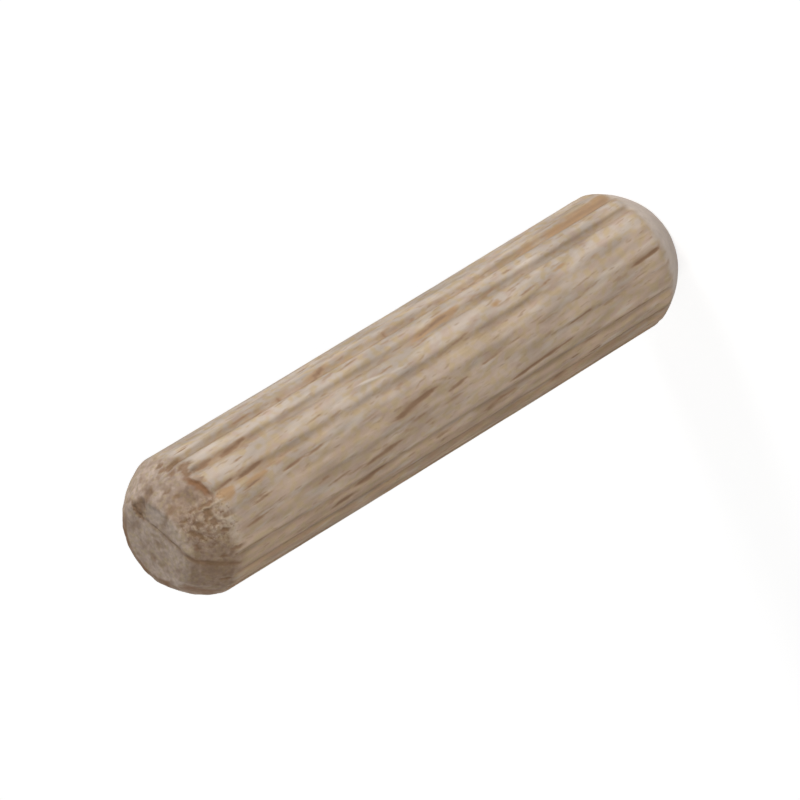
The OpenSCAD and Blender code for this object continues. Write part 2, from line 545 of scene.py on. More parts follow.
def path_gap(x, y, path):
    """The distance of each point from a path of straight legs, seen from above."""
    nearest = np.full(len(x), np.inf)
    for (from_x, from_y), (to_x, to_y) in zip(path, path[1:]):
        run_x = to_x - from_x
        run_y = to_y - from_y
        along = np.clip(((x - from_x) * run_x + (y - from_y) * run_y) / (run_x ** 2 + run_y ** 2), 0, 1)
        nearest = np.minimum(nearest, np.hypot(x - from_x - along * run_x, y - from_y - along * run_y))
    return nearest


def strokes(x, y, rows, wander):
    """The depth of the strokes at each point, with soft edges and round ends, and how dark they are."""
    deepest = np.zeros(len(x))
    darkest = np.zeros(len(x))
    for from_x, from_y, to_x, to_y, width, depth, darkness in rows:
        gap = path_gap(x, y, [(from_x, from_y), (to_x, to_y)]) + wander * width
        share = smooth_step(width * STROKE_REACH, 0, gap)
        deepest = np.maximum(deepest, depth * share)
        darkest = np.maximum(darkest, darkness * share)
    return deepest, darkest


def spindles(angle, z, rows, wander):
    """How far inside any of the spindles each point is, times that one's strength."""
    strongest = np.zeros(len(z))
    for z_from, z_to, angle_from, angle_to, width, strength in rows:
        down = z_from - z
        side = np.radians(turn(angle - angle_from)) * PIN_R
        run_down = z_from - z_to
        run_side = math.radians(angle_to - angle_from) * PIN_R
        length = math.hypot(run_down, run_side)
        along = (down * run_down + side * run_side) / length ** 2
        across = np.abs(side * run_down - down * run_side) / length + wander * width
        # 1 half-way along, and 0 at both tips
        roundness = 4 * along * (1 - along)
        half = width / 2 * np.clip(roundness, 1e-6, 1) ** SPINDLE_TAPER
        share = smooth_step(*SPINDLE_EDGE, across / half) * np.sqrt(np.clip(1.5 * roundness, 0, 1))
        inside = (along > 0) & (along < 1)
        strongest = np.maximum(strongest, np.where(inside, strength * share, 0))
    return strongest


def halo_rows():
    """The spindles of stained wood round the flecks."""
    rows = []
    for z_from, z_to, angle_from, angle_to, width, strength in FLECKS:
        wider = 2 * width + HALO_WIDER
        longer = (z_from + HALO_LONGER, z_to - HALO_LONGER)
        rows.append((*longer, angle_from, angle_to, wider, HALO_STRENGTH * strength))
    return rows


def drawn(draw, limits, larger):
    """A random value between the first two limits, and up to the third one more where larger is 1."""
    least, most, more = limits
    return draw.uniform(least, most) + larger * draw.uniform(0, more)


def small_fleck_rows():
    """Small flecks all over, longer and stronger on the hidden side, where the rays meet it end on."""
    draw = np.random.default_rng(SMALL_FLECK_SEED)
    rows = []
    for _ in range(SMALL_FLECKS):
        angle = draw.uniform(-180, 180)
        facing = abs(math.cos(math.radians(angle - RAY_ANGLE)))
        hidden = abs(turn(angle - SEEN_ANGLE)) > SEEN_REACH
        length = drawn(draw, SMALL_LEN, facing * hidden)
        z_from = draw.uniform(SMALL_END_GAP, PIN_LEN - SMALL_END_GAP)
        rise = math.degrees(-GRAIN_LEAN * length / PIN_R) * math.cos(math.radians(angle))
        width = drawn(draw, SMALL_WIDTH, hidden)
        strength = drawn(draw, SMALL_STRENGTH, hidden)
        rows.append((z_from, z_from - length, angle, angle + rise, width, strength))
    return rows


class Skin:
    """Points of the CAD form, how far wear moves them, and the marks that it leaves on them."""

    def __init__(self, x, y, z):
        self.x = x
        self.y = y
        self.z = z
        self.points = np.stack([x, y, z], axis=1)
        self.radius = np.hypot(x, y)
        self.angle = angle_of(x, y)
        ray_x, ray_y = around(1, RAY_ANGLE)
        lean_x = x - GRAIN_LEAN * z
        # Where each point is in the grain: along the rays, across them, and up
        self.wood = np.stack([lean_x * ray_x + y * ray_y, y * ray_x - lean_x * ray_y, z], axis=1)
        self.upper = z > PIN_LEN / 2
        self.top = smooth_step(CRESTS_TOP - TOP_REACH, CRESTS_TOP, z)
        # How far past the end of the crests each point is, at its own end
        self.past_crests = np.where(self.upper, z - CRESTS_TOP, CHAMFER_LEN - LOWER_CUT_SHIFT - z)
        self.cut = smooth_step(*CUT_EDGE, self.past_crests + varied(self.wood, *CUT_BORDER))
        self.side = 1 - self.cut
        self.push_x = varied(self.points, *PUSH_X)
        self.push_y = varied(self.points, *PUSH_Y)
        self.relief = np.zeros(len(z))
        self.sunk = np.zeros(len(z))
        self.marks = {}

    def mark(self, name, values):
        """Adds values to the mark of that name."""
        self.marks[name] = self.marks.get(name, 0) + values

    def strokes(self, rows, wander):
        """The depth and darkness of strokes on the rough end, pushed about."""
        return strokes(self.x + self.push_x, self.y + self.push_y, rows, wander)


def finish_sides(skin):
    """Fibres along the grain, flecks, amber patches and slivers."""
    wander = varied(skin.points, *SPINDLE_WANDER)
    kinds = {
        "fleck": FLECKS,
        "halo": halo_rows(),
        "small": small_fleck_rows(),
        "amber": AMBERS,
        "sliver": SLIVERS,
    }
    shares = {}
    for name, rows in kinds.items():
        shares[name] = skin.side * spindles(skin.angle, skin.z, rows, wander)
    skin.relief += skin.side * (layers(skin.wood, SIDE_LAYERS) - SIDE_SINK)
    skin.relief += SLIVER_RISE * shares["sliver"]
    skin.relief -= FLECK_DEPTH * shares["fleck"] + SMALL_FLECK_DEPTH * shares["small"]
    skin.mark("fleck", np.maximum(shares["fleck"], SMALL_DARKNESS * shares["small"]))
    skin.mark("halo", np.maximum(shares["halo"], SMALL_HALO * shares["small"]))
    skin.mark("amber", shares["amber"])
    skin.mark("pale", shares["sliver"])


def finish_cuts(skin):
    """The chamfers and tips, which are cut across the grain."""
    rough = skin.cut * np.where(skin.upper, 1, LOWER_ROUGHNESS)
    skin.relief += rough * (layers(skin.points, CUT_LAYERS) - CUT_SINK)
    skin.mark("cut", skin.cut)


def tear_fibres(skin):
    """Strokes on the rough end, and the torn wood at its edge. Gives back where that is."""
    wander = noise(skin.points, 0.12, 43)
    pits, dark = skin.strokes(TORN_STROKES, STROKE_WANDER * wander)
    fibres, pale = skin.strokes(FIBRE_STROKES, FIBRE_WANDER * wander)
    _, shade = skin.strokes(SHADE_STROKES, FIBRE_WANDER * wander)
    torn = plateau(skin.angle, *TORN_ANGLES) * plateau(skin.radius, *TORN_RADII) * skin.top
    ragged = noise(skin.points, (0.20, 0.12, 0.2), 51)
    skin.relief += (FIBRE_RISE * fibres - PIT_DEPTH * pits) * skin.top
    skin.relief += TORN_FIBRE * torn * smooth_step(*TORN_FIBRE_NOISE, ragged)
    skin.relief -= TORN_PIT * torn * smooth_step(*TORN_PIT_NOISE, ragged) + TORN_SINK * torn
    # Dark in the pits: partly the torn wood's brown, partly painted shade
    skin.mark("hollow", PIT_DARKNESS * dark * skin.top)
    skin.mark("pale", FIBRE_PALENESS * pale * skin.top)
    skin.mark("shade", shade * skin.top)
    skin.mark("torn", torn)
    return torn


def break_crest(skin):
    """The recess below the crest that broke off short, and its dark ledge: painted shadow and brown torn
    wood.
    """
    rise = STEP_RISE * (skin.angle - STEP_ANGLES[0])
    above = skin.z - varied(skin.points, *STEP_EDGE) - rise
    place = plateau(skin.angle, *STEP_ANGLES)
    recess = place * smooth_step(*STEP_WALL, above) * smooth_step(*STEP_RADII, skin.radius)
    skin.relief -= STEP_DEPTH * recess
    ledge = place * band(LEDGE_BAND, above) * skin.top
    skin.mark("ledge", ledge * varied(skin.points, *LEDGE_STRENGTH))


def darken_crest_ends(skin, torn):
    """Ends of the crests painted brown towards the front and the left, partly their own brown, partly their
    shadow.
    """
    near = smooth_step(*END_NEAR, np.abs(skin.past_crests - END_HEIGHT))
    spots = smooth_step(*END_NOISE, noise(skin.points, (0.22, 0.22, 0.3), 63))
    brown = band(END_BAND, skin.angle) * near * spots * skin.upper
    skin.mark("fleck", END_DARKNESS * brown * (1 - END_TORN_LOSS * torn))


def open_split(skin):
    """The split, which runs straight down the grain, and the sunk wood in front of it."""
    half = varied(skin.points, *SPLIT_HALF_W)
    x = skin.x + SPLIT_PUSH * skin.push_x
    y = skin.y + SPLIT_PUSH * skin.push_y
    gap = path_gap(x, y, SPLIT_PATH)
    split = smooth_step(*SPLIT_WALL, gap / half) * skin.top * varied(skin.points, *SPLIT_STRENGTH)
    beside = smooth_step(*BESIDE_SPLIT, gap) * skin.top
    front_x, front_y = zip(*SPLIT_PATH[::-1])
    in_front = smooth_step(*LIP_WAY, np.interp(skin.x, front_x, front_y) - skin.y)
    in_front *= smooth_step(*LIP_RADII, skin.radius)
    skin.sunk += SPLIT_OPEN * SPLIT_DEPTH * split + LIP_SAG * in_front * skin.top
    # Painted shade in the split and on the wood beside it
    skin.mark("hollow", SPLIT_DARKNESS * split + BESIDE_DARKNESS * beside)
    # In front of the split the clean, lighter colour is half mixed in: painted light on that face
    skin.mark("rough", np.where(skin.upper, 1 - LIP_PAINTED_LIGHT * in_front, 0))


def sink_chip(skin):
    """The chip's round hollow in the tip face's rim, with shade painted in it."""
    chip_x, chip_y = around(TIP_R, CHIP_ANGLE)
    gap = np.hypot(skin.x + skin.push_x - chip_x, skin.y + skin.push_y - chip_y)
    floor = PIN_LEN + CHIP_R - CHIP_DEPTH - np.sqrt(np.maximum(CHIP_R ** 2 - gap ** 2, 0))
    depth = np.where((gap < CHIP_R) & skin.upper, np.maximum(skin.z - floor, 0), 0)
    skin.sunk += CHIP_OPEN * depth
    skin.mark("hollow", CHIP_DARKNESS * depth)
    skin.mark("shade", CHIP_SHADE * depth)


def darken_rim(skin):
    """The rough end's chamfer, painted darker as shade among torn fibres and as dirt, and its dark lines.
    """
    bulge = DIM_BULGE * plateau(skin.angle, *DIM_BULGE_ANGLES)
    outside = skin.radius - varied(skin.points, *DIM_EDGE_R) - bulge
    # The mark named worn paints the chamfer darker: partly shade among torn fibres, partly dirt
    worn = smooth_step(*DIM_ANGLES, np.abs(turn(skin.angle - LIGHTEST_ANGLE)))
    skin.mark("worn", worn * smooth_step(*DIM_EDGE, outside) * skin.top)
    rim_line = smooth_step(*RIM_LINE_ANGLES, np.abs(skin.angle))
    rim_line *= smooth_step(*RIM_LINE_NEAR, np.abs(skin.radius - RIM_LINE_R))
    left_line = band(LEFT_LINE_BAND, skin.angle) * band(LEFT_LINE_RADII, skin.radius)
    lines = np.maximum(rim_line, left_line) * skin.top * varied(skin.points, *LINE_STRENGTH)
    skin.mark("hollow", LINE_DARKNESS * lines)
    skin.mark("ledge", LINE_LEDGE * lines)


def finish_surface(x, y, z, normal):
    """Turns points of the CAD form into the worn surface. Gives the new points and the marks on them."""
    skin = Skin(x, y, z)
    finish_sides(skin)
    finish_cuts(skin)
    torn = tear_fibres(skin)
    break_crest(skin)
    darken_crest_ends(skin, torn)
    open_split(skin)
    sink_chip(skin)
    darken_rim(skin)
    moved = skin.points + normal * skin.relief[:, None]
    moved[:, 2] -= skin.sunk
    # Half of the bow forward at mid height, and half of it back at both ends
    sway = 0.5 - (2 * z / PIN_LEN - 1) ** 2
    moved[:, :2] += np.outer(sway, around(BOW, BOW_ANGLE))
    marks = {name: np.clip(values, 0, 1) for name, values in skin.marks.items()}
    # Not clipped, since a brownness above 1 makes the brown band wider
    _, brown = flute_form(skin.angle, z)
    marks["groove"] = skin.side * brown
    return moved, marks


# ---- The mesh ----

# The split's way across the upper chamfer: distance from the axis, angle. The columns bend to follow it.
split_radii, split_angles = zip(*[(math.hypot(x, y), angle_of(x, y)) for x, y in SPLIT_PATH[:3:-1]])
SPLIT_COLUMN = split_angles[0]
BEND_REACH = 50
# The upper chamfer's rows lie the closer together towards the crests, the higher this power
ROW_CROWDING = 1.15
# How far corners are rounded over: those of the upper tip face's rim, and all others
RIM_REACH = 0.16
EDGE_REACH = 0.06
# How far the section is outside the envelope on the chamfer, and on the side
ON_CHAMFER = 0.10
ON_SIDE = -0.02
# A tip face's normals straighten up over this distance from its rim
FLAT_REACH = 0.15
# A tip face's rows of points: how far apart, and along which line. On the upper face that is the split.
UPPER_TIP = (0.055, SPLIT_PATH[:5])
LOWER_TIP = (0.12, [(1, 0), (-1, 0)])
# How far they are from that line: the near ones, and the even ones' limits
NEAR_ROWS = [0, 0.02, 0.04, 0.06, 0.09]
EVEN_ROWS_FROM = 0.13
EVEN_ROWS_TO = 4
# They keep this far from the rim, in parts of their spacing
RIM_GAP = 0.6
# Blender's number for triangles inside the outline, and how near it joins points
INSIDE_OUTLINE = 1
JOIN_DISTANCE = 1e-7


def bent_columns(angle, radius):
    """The columns' angles on the upper chamfer, bent so that one of them runs along the split."""
    place = np.interp(radius, split_radii[::-1], split_angles[::-1])
    return angle + hump(turn(angle - SPLIT_COLUMN) / BEND_REACH) * (place - SPLIT_COLUMN)


def arc_point(tilt):
    """The upper chamfer's distance from the axis, and height, where its normal tilts up by that much."""
    return arc_axis[0] + CHAMFER_R * math.cos(tilt), arc_axis[1] + CHAMFER_R * math.sin(tilt)


def side_rows():
    """The rows of the mesh from the lower rim to the upper rim: envelope radius, height, normal's tilt."""
    upper = arc_start + (arc_end - arc_start) * np.linspace(0, 1, UPPER_ROWS) ** ROW_CROWDING
    lower = arc_start + (arc_end - arc_start) * np.linspace(0, 1, LOWER_ROWS)
    rows = []
    for tilt in lower[::-1]:
        envelope, height = arc_point(tilt)
        rows.append((envelope, PIN_LEN - height, -tilt))
    _, body_top = arc_point(arc_start)
    for height in np.linspace(PIN_LEN - body_top, body_top, BODY_ROWS + 2)[1:-1]:
        rows.append((PIN_R + ARC_OVERSHOOT, height, 0.0))
    for tilt in upper:
        rows.append((*arc_point(tilt), tilt))
    return rows


def normals_at(x, y, tilt):
    """Normals that point away from the axis, tilted up by that much."""
    radius = np.maximum(np.hypot(x, y), 1e-9)
    return np.stack([x / radius * np.cos(tilt), y / radius * np.cos(tilt), np.sin(tilt) + 0 * x], axis=1)


def side_points():
    """Points and normals of the CAD form's sides and chamfers, row by row."""
    angles = np.arange(COLUMNS) * 360 / COLUMNS + SPLIT_COLUMN
    points = []
    normals = []
    for envelope, height, tilt in side_rows():
        row_angles = bent_columns(angles, envelope) if height > PIN_LEN / 2 else angles
        level = np.full(COLUMNS, height)
        section, _ = flute_form(turn(row_angles), level)
        x, y = around(smooth_min(section, envelope, EDGE_REACH), row_angles)
        z = smooth_min(level, PIN_LEN, RIM_REACH)
        z = -smooth_min(-z, 0, EDGE_REACH)
        points.append(np.stack([x, y, z], axis=1))
        on_side = smooth_step(ON_CHAMFER, ON_SIDE, section - envelope)
        normals.append(normals_at(x, y, tilt * (1 - on_side)))
    return points, normals


def side_faces(row_count):
    """The faces between the rows, as the numbers of their four corners."""
    faces = []
    for below in range(0, (row_count - 1) * COLUMNS, COLUMNS):
        above = below + COLUMNS
        for column in range(COLUMNS):
            beside = (column + 1) % COLUMNS
            faces.append((below + column, below + beside, above + beside, above + column))
    return faces


def disc(rim, spacing, line):
    """A flat disc inside a rim: its points, in rows along a line, and its triangles."""
    run = np.subtract(line[-1], line[0])
    run = run / math.hypot(*run)
    across = np.array([-run[1], run[0]])
    bends = np.array(line) @ np.stack([run, across], axis=1)
    bends = bends[np.argsort(bends[:, 0])]
    distances = NEAR_ROWS + list(np.arange(EVEN_ROWS_FROM, EVEN_ROWS_TO, spacing))
    offsets = sorted({round(side * distance, 3) for side in (-1, 1) for distance in distances})
    rows = []
    for index, offset in enumerate(offsets):
        along = np.arange(-TIP_R, TIP_R, spacing) + spacing / 2 * (index % 2)
        bend = np.interp(along, bends[:, 0], bends[:, 1])
        rows.append(along[:, None] * run + (bend + offset)[:, None] * across)
    inner = np.concatenate(rows)
    limit = np.hypot(*rim[:, :2].T).min() - RIM_GAP * spacing
    inner = inner[np.hypot(*inner.T) < limit]
    flat = [Vector(point) for point in np.concatenate([rim[:, :2], inner])]
    edges = [(number, (number + 1) % len(rim)) for number in range(len(rim))]
    return inner, delaunay_2d_cdt(flat, edges, [], INSIDE_OUTLINE, JOIN_DISTANCE)[2]


def tip_points(rim, is_upper):
    """A tip face inside its rim: points, normals, and triangles that number the rim's points first."""
    inner, triangles = disc(rim, *(UPPER_TIP if is_upper else LOWER_TIP))
    radius = np.hypot(*inner.T)
    height = smooth_min(arc_height(radius), PIN_LEN, RIM_REACH if is_upper else EDGE_REACH)
    flatness = smooth_step(TIP_R, TIP_R - FLAT_REACH, radius)
    tilt = arc_end + (math.pi / 2 - arc_end) * flatness
    if not is_upper:
        height = PIN_LEN - height
        tilt = -tilt
    return np.column_stack([inner, height]), normals_at(*inner.T, tilt), triangles


def add_object(name, data):
    """Puts a mesh, lamp or camera into the scene."""
    made = bpy.data.objects.new(name, data)
    bpy.context.scene.collection.objects.link(made)
    return made


def build_pin():
    """The whole pin as one mesh, with the marks of wear as attributes of its points."""
    rows, row_normals = side_points()
    points = np.concatenate(rows)
    normals = np.concatenate(row_normals)
    faces = side_faces(len(rows))
    for is_upper in (True, False):
        first = (len(rows) - 1) * COLUMNS if is_upper else 0
        inner, inner_normals, triangles = tip_points(points[first:first + COLUMNS], is_upper)
        for triangle in triangles:
            numbers = [first + v if v < COLUMNS else len(points) + v - COLUMNS for v in triangle]
            faces.append(numbers if is_upper else numbers[::-1])
        points = np.concatenate([points, inner])
        normals = np.concatenate([normals, inner_normals])
    moved, marks = finish_surface(*points.T, normals)
    mesh = bpy.data.meshes.new("beech_pin")
    mesh.from_pydata((moved * MM).tolist(), [], faces)
    mesh.validate()
    for name, values in marks.items():
        attribute = mesh.attributes.new(name, "FLOAT", "POINT")
        attribute.data.foreach_set("value", values.astype(np.float32))
    mesh.shade_smooth()
    return add_object("beech_pin", mesh)


# ---- The wood ----

class Graph:
    """The nodes of a material or of the world. Most calls give back an output socket."""

    def __init__(self, owner):
        owner.use_nodes = True
        self.owner = owner
        self.tree = owner.node_tree
        self.tree.nodes.clear()

    def feed(self, socket, value):
        """Links a socket to another one, or sets its value."""
        if isinstance(value, bpy.types.NodeSocket):
            self.tree.links.new(value, socket)
        else:
            socket.default_value = value

    def node(self, kind, inputs=None, **settings):
        """Adds a node and gives it back. An input is a socket to link, or a value to set."""
        made = self.tree.nodes.new(kind)
        for name, value in settings.items():
            setattr(made, name, value)
        for key, value in (inputs or {}).items():
            self.feed(made.inputs[key], value)
        return made

    def mark(self, name):
        return self.node("ShaderNodeAttribute", attribute_name=name).outputs["Fac"]

    def parts(self, vector):
        """The three parts of a vector."""
        return self.node("ShaderNodeSeparateXYZ", {0: vector}).outputs

    def math(self, operation, first, second=0.0, third=0.0):
        return self.node("ShaderNodeMath", {0: first, 1: second, 2: third}, operation=operation).outputs[0]

    def ramp(self, value, low, high, to_low=0.0, to_high=1.0):
        inputs = {"Value": value, "From Min": low, "From Max": high, "To Min": to_low, "To Max": to_high}
        return self.node("ShaderNodeMapRange", inputs, interpolation_type="SMOOTHSTEP").outputs[0]

    def spread(self, noise, to_low, to_high):
        """Turns noise, most of which is from 0.3 to 0.7, into values from to_low to to_high."""
        return self.ramp(noise, 0.3, 0.7, to_low, to_high)

    def mix(self, share, first, second, blend="MIX"):
        colours = [(*value, 1) if isinstance(value, tuple) else value for value in (first, second)]
        inputs = {0: share, 6: colours[0], 7: colours[1]}
        return self.node("ShaderNodeMix", inputs, data_type="RGBA", blend_type=blend).outputs[2]

    def multiply(self, colour, by):
        return self.mix(1.0, colour, by, "MULTIPLY")

    def noise(self, place, lump, detail):
        """Noise with lumps of that size in millimetres along the three axes of place."""
        size = tuple(1 / (length * MM) for length in lump)
        scaled = self.node("ShaderNodeVectorMath", {0: place, 1: size}, operation="MULTIPLY").outputs[0]
        inputs = {"Vector": scaled, "Scale": 1.0, "Detail": detail, "Roughness": 0.5}
        return self.node("ShaderNodeTexNoise", inputs).outputs["Fac"]

    def patches(self, place, colour, rows):
        """Covers a colour with patches, in the form of SIDE_PATCHES."""
        for lump, detail, begins, whole, share, other in rows:
            patch = self.ramp(self.noise(place, lump, detail), begins, whole, 0, share)
            colour = self.mix(patch, colour, other)
        return colour

    def covered(self, colour, other, mark, begins, whole, share):
        """Covers a colour with another one, up to that share, as a mark goes from begins to whole."""
        return self.mix(self.ramp(mark, begins, whole, 0, share), colour, other)


# Colours of the wood, and of the shade painted on it, linear
BASE = (0.535, 0.445, 0.37)
LIGHT = (0.57, 0.48, 0.405)
BROWNER = (0.575, 0.41, 0.29)
REDDER = (0.55, 0.36, 0.23)
GOLDEN = (0.545, 0.413, 0.255)
PINKISH = (0.52, 0.375, 0.29)
PALE = (0.63, 0.54, 0.455)
FLECK = (0.28, 0.17, 0.10)
FLECK_EDGE = (0.40, 0.265, 0.17)
HALO = (0.42, 0.29, 0.19)
AMBER = (0.465, 0.29, 0.155)
# Darkening in the flutes: partly the pressed wood's brown, partly painted shade
GROOVE = (0.77, 0.73, 0.68)
CUT_BASE = (0.45, 0.335, 0.262)
CUT_LIGHT = (0.60, 0.472, 0.385)
CUT_TAN = (0.505, 0.39, 0.258)
CUT_DARK = (0.33, 0.225, 0.155)
# Painted darker on the rough end's chamfer: partly shade among torn fibres, partly dirt
CUT_DIMMER = (0.69, 0.63, 0.57)
CUT_CLEAN = (0.72, 0.63, 0.56)
# Dark of the hollows: partly torn wood's brown, partly painted shade in pits, the split and the chip
HOLLOW = (0.225, 0.135, 0.07)
HOLLOW_RED = (0.27, 0.16, 0.09)
SHADE = (0.38, 0.36, 0.345)
TORN_DARK = (0.22, 0.135, 0.075)
# The ledge: painted shadow under the broken crest's end, with the brown of its torn wood
LEDGE = (0.27, 0.14, 0.07)
STRAND = (0.58, 0.46, 0.33)

# Patches where noise is high: lumps' size in millimetres, detail, the noise at which a patch begins and at
# which it is whole, its share there, its colour
SIDE_PATCHES = [
    ((0.55, 0.42, 1.0), 1.5, 0.45, 0.70, 0.70, PINKISH),
    ((0.38, 0.30, 0.46), 0.5, 0.38, 0.70, 0.85, GOLDEN),
    ((0.46, 0.40, 2.0), 1.0, 0.52, 0.74, 0.60, PALE),
]
SIDE_DASHES = [((0.20, 0.15, 0.8), 1.0, 0.58, 0.78, 0.65, FLECK_EDGE)]
CUT_PATCHES = [
    ((0.75, 0.75, 0.75), 2.0, 0.36, 0.64, 1.00, CUT_LIGHT),
    ((0.28, 0.32, 0.28), 2.0, 0.44, 0.66, 0.85, CUT_TAN),
]
CUT_BLOTCHES = [((0.40, 0.55, 0.40), 1.0, 0.50, 0.76, 0.70, CUT_DARK)]
# What the colour is multiplied by, at its darkest and its lightest
MIDDLE_SHADES = (0.82, 1.13)
FIBRE_SHADES = (0.97, 1.02)
SPECKLE_SHADES = (0.90, 1.09)
# The colour grows browner along the rays, over a border that waves by this much: partly the wood's own
# tone, partly painted warm shade on the side away from the lamps
BROWNER_WAY = (0.6 * MM, -5.0 * MM)
BROWNER_WAVE = 3 * MM
BROWNER_SHARE = 0.85
# and redder on its -X side, away from the lamps: partly the wood's own tone, partly painted warm shade
REDDER_WAY = (-2.9 * MM, -4.0 * MM)
REDDER_SHARE = 0.8
# Shares of the clean colour on the smoother cut wood, also painting light in front of the split, and of the
# hollows' colour
CLEAN_SHARE = 0.7
HOLLOW_SHARE = 0.85
# Fine relief and gloss
FIBRE_RELIEF = 0.6
GRIT_RELIEF = 0.4
BUMP_STRENGTH = 0.6
BUMP_HEIGHT = 0.03 * MM
ROUGHNESS = (0.92, 0.72)
WOOD_IOR = 1.5
WOOD_SPECULAR = 0.3


def along_rays(graph, vector):
    """A vector turned about the pin so that its first part runs along the rays."""
    turned = {"Vector": vector, "Axis": (0, 0, 1), "Angle": math.radians(90 - RAY_ANGLE)}
    return graph.node("ShaderNodeVectorRotate", turned).outputs[0]


def wood_place(graph, place):
    """Where a point is in the grain: along the rays, across them, and up the grain."""
    parts = graph.parts(place)
    lean = graph.math("MULTIPLY_ADD", parts[2], -GRAIN_LEAN, parts[0])
    leaning = graph.node("ShaderNodeCombineXYZ", {0: lean, 1: parts[1], 2: parts[2]}).outputs[0]
    return along_rays(graph, leaning)


def side_colour(graph, place, wood, fibre):
    """The colour of the sides, without their marks."""
    wide = graph.noise(wood, (1.4, 1.4, 12), 1.0)
    colour = graph.mix(graph.ramp(wide, 0.35, 0.65), BASE, LIGHT)
    depth = graph.parts(along_rays(graph, place))[0]
    ring = graph.math("MULTIPLY_ADD", graph.math("SUBTRACT", wide, 0.5), BROWNER_WAVE, depth)
    colour = graph.covered(colour, BROWNER, ring, *BROWNER_WAY, BROWNER_SHARE)
    colour = graph.covered(colour, REDDER, graph.parts(place)[0], *REDDER_WAY, REDDER_SHARE)
    colour = graph.patches(wood, colour, SIDE_PATCHES)
    middle = graph.noise(wood, (0.75, 0.6, 3.6), 2.0)
    colour = graph.multiply(colour, graph.ramp(middle, 0.28, 0.72, *MIDDLE_SHADES))
    colour = graph.multiply(colour, graph.spread(fibre, *FIBRE_SHADES))
    return graph.patches(wood, colour, SIDE_DASHES)


def side_marks(graph, wood, colour):
    """Adds the flutes' brown and painted shade, amber patches, and the flecks with their halos."""
    colour = graph.mix(graph.mark("groove"), colour, graph.multiply(colour, GROOVE))
    ragged = graph.spread(graph.noise(wood, (0.22, 0.18, 0.7), 2.0), -0.16, 0.06)
    uneven = graph.spread(graph.noise(wood, (0.35, 0.25, 1.1), 2.0), -0.35, 0.1)
    amber = graph.math("ADD", graph.mark("amber"), uneven)
    colour = graph.covered(colour, AMBER, amber, 0.0, 0.9, 0.95)
    halo = graph.math("ADD", graph.mark("halo"), ragged)
    colour = graph.covered(colour, HALO, halo, 0.0, 0.8, 0.8)
    fleck = graph.math("ADD", graph.mark("fleck"), ragged)
    fleck_colour = graph.covered(FLECK_EDGE, FLECK, fleck, 0.3, 0.95, 1)
    return graph.covered(colour, fleck_colour, fleck, 0.02, 0.7, 1)


def cut_colour(graph, place):
    """The colour of the chamfers and tips: rough cut wood above, and clean cut wood below."""
    colour = graph.patches(place, CUT_BASE, CUT_PATCHES)
    speckle = graph.noise(place, (0.21, 0.24, 0.21), 1.0)
    colour = graph.multiply(colour, graph.spread(speckle, *SPECKLE_SHADES))
    colour = graph.patches(place, colour, CUT_BLOTCHES)
    # Darker on the chamfer, by the mark named worn: partly painted shade among torn fibres, partly dirt
    colour = graph.mix(graph.mark("worn"), colour, graph.multiply(colour, CUT_DIMMER))
    # Where the rough mark is low the clean colour comes in; in front of the split that is painted light
    return graph.mix(graph.mark("rough"), graph.mix(CLEAN_SHARE, colour, CUT_CLEAN), colour)


def cut_marks(graph, place, colour):
    """Adds torn fibres, painted shade, the ledge, pale fibres and slivers, and dark hollows partly painted
    shade.
    """
    torn = graph.mark("torn")
    shreds = graph.noise(place, (0.18, 0.14, 0.15), 1.0)
    pale_shreds = graph.ramp(shreds, 0.46, 0.30, 0, 0.5)
    dark_shreds = graph.ramp(shreds, 0.54, 0.70, 0, 0.9)
    colour = graph.mix(graph.math("MULTIPLY", torn, pale_shreds), colour, STRAND)
    colour = graph.mix(graph.math("MULTIPLY", torn, dark_shreds), colour, TORN_DARK)
    colour = graph.mix(graph.mark("shade"), colour, graph.multiply(colour, SHADE))
    colour = graph.mix(graph.mark("ledge"), colour, LEDGE)
    colour = graph.mix(graph.mark("pale"), colour, graph.mix(graph.mark("cut"), PALE, STRAND))
    reddish = graph.ramp(graph.noise(place, (0.3, 0.3, 0.3), 1.0), 0.4, 0.6)
    hollow = graph.mix(reddish, HOLLOW, HOLLOW_RED)
    return graph.mix(graph.math("MULTIPLY", graph.mark("hollow"), HOLLOW_SHARE), colour, hollow)


def wood_material():
    graph = Graph(bpy.data.materials.new("raw_beech"))
    place = graph.node("ShaderNodeTexCoord").outputs["Object"]
    wood = wood_place(graph, place)
    fibre = graph.noise(wood, (0.22, 0.18, 1.6), 2.0)
    colour = side_marks(graph, wood, side_colour(graph, place, wood, fibre))
    colour = graph.mix(graph.mark("cut"), colour, cut_colour(graph, place))
    colour = cut_marks(graph, place, colour)
    grit = graph.math("MULTIPLY", graph.noise(place, (0.14, 0.14, 0.16), 1.5), GRIT_RELIEF)
    height = graph.math("MULTIPLY_ADD", fibre, FIBRE_RELIEF, grit)
    relief = {"Height": height, "Strength": BUMP_STRENGTH, "Distance": BUMP_HEIGHT}
    surface = {
        "Base Color": colour,
        "Roughness": graph.spread(fibre, *ROUGHNESS),
        "Normal": graph.node("ShaderNodeBump", relief).outputs[0],
        "IOR": WOOD_IOR,
        "Specular IOR Level": WOOD_SPECULAR,
    }
    shader = graph.node("ShaderNodeBsdfPrincipled", surface)
    graph.node("ShaderNodeOutputMaterial", {"Surface": shader.outputs[0]})
    return graph.owner


# ---- The studio ----

# The floor's own colour, and how much it glows where it is seen directly, to show white
FLOOR_COLOUR = 0.5
FLOOR_GLOW = 0.77
FLOOR_HALF = 4.0
# The floor lies this far below the pin
FLOOR_GAP = 0.02 * MM
# The light from all around, which a camera, mirror or glass sees as plain white
AMBIENT = 0.22
WHITE = (1, 1, 1, 1)
